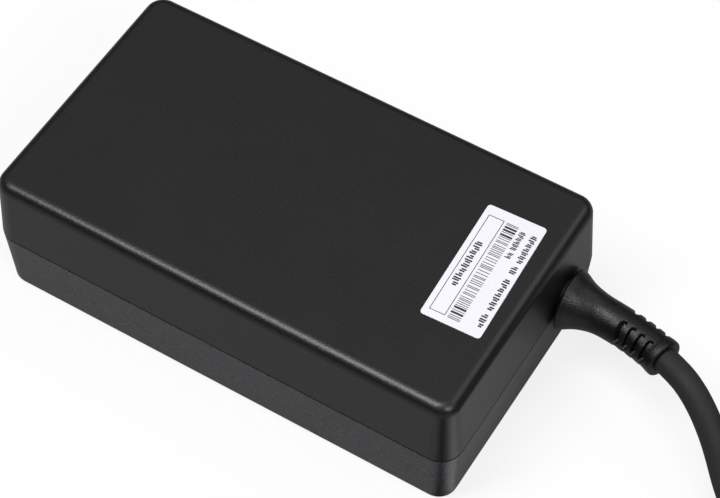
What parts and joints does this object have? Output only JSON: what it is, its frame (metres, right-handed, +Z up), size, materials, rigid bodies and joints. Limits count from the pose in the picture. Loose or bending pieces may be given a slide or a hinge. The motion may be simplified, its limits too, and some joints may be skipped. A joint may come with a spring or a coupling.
{
  "type": "laptop power adapter",
  "caption": "Rectangular laptop power adapter: two drafted shells with a lapped seam, three-pin mains inlet, slotted strain relief, coiled output cord and barrel plug.",
  "frame": {"origin": "middle of the underside of the case", "axes": "+X along the case to the end where the output cord leaves, -Y the long side that faces the viewer, +Z up"},
  "size_m": [0.2751, 0.097, 0.0351],
  "materials": {
    "upper_case": "fine moulded grain",
    "lower_case": "fine moulded grain",
    "label": "satin sticker",
    "inlet_body": "satin",
    "contact": "nickel plated",
    "cord": "satin",
    "relief": "satin",
    "tie": "woven",
    "plug_plastic": "satin",
    "plug_metal": "polished",
    "board": "lacquered",
    "heat_metal": "mill",
    "film": "smooth",
    "pad": "soft",
    "ceramic": "dipped",
    "box_plastic": "smooth",
    "ferrite": "matte",
    "wire_copper": "enamelled",
    "tape": "taped",
    "former": "moulded",
    "device": "moulded",
    "can": "sleeved",
    "steel": "zinc plated",
    "wire_red": "smooth",
    "wire_black": "smooth",
    "wire_white": "smooth"
  },
  "bodies": {
    "root": {"upper_shell": "upper_case", "lower_shell": "lower_case", "product_label": "label", "inlet_housing": "inlet_body", "line_pin": "contact", "neutral_pin": "contact", "earth_pin": "contact", "strain_relief": "relief", "dc_cord_inner_end": "cord", "dc_cord": "cord", "dc_cord_coil": "cord", "dc_cord_tail": "cord", "cord_tie": "tie", "plug_grip": "plug_plastic", "plug_sleeve": "plug_metal", "plug_insulator": "plug_plastic", "plug_inner_contact": "plug_metal", "circuit_board": "board", "top_spreader": "heat_metal", "top_sheet": "film", "bottom_spreader": "heat_metal", "bottom_sheet": "film", "thermal_pads": "pad", "fuse": "ceramic", "surge_varistor": "ceramic", "inrush_thermistor": "former", "film_capacitor": "box_plastic", "safety_capacitors": "ceramic", "line_choke_core": "ferrite", "line_choke_windings": "wire_copper", "bridge_rectifier": "device", "boost_choke_core": "ferrite", "boost_choke_former": "former", "boost_choke_winding": "wire_copper", "transformer_core": "ferrite", "transformer_former": "former", "transformer_windings": "tape", "primary_heatsink": "heat_metal", "secondary_heatsink": "heat_metal", "boost_transistor": "device", "boost_diode": "device", "main_transistor": "device", "output_rectifier_first": "device", "output_rectifier_second": "device", "device_pads": "pad", "device_screws": "steel", "bulk_capacitor": "can", "output_capacitors": "can", "output_choke_core": "ferrite", "output_choke_winding": "wire_copper", "optocoupler": "device", "control_chips": "device", "positive_wire": "wire_red", "negative_wire": "wire_black", "sense_wire": "wire_white"}
  },
  "joints": []
}
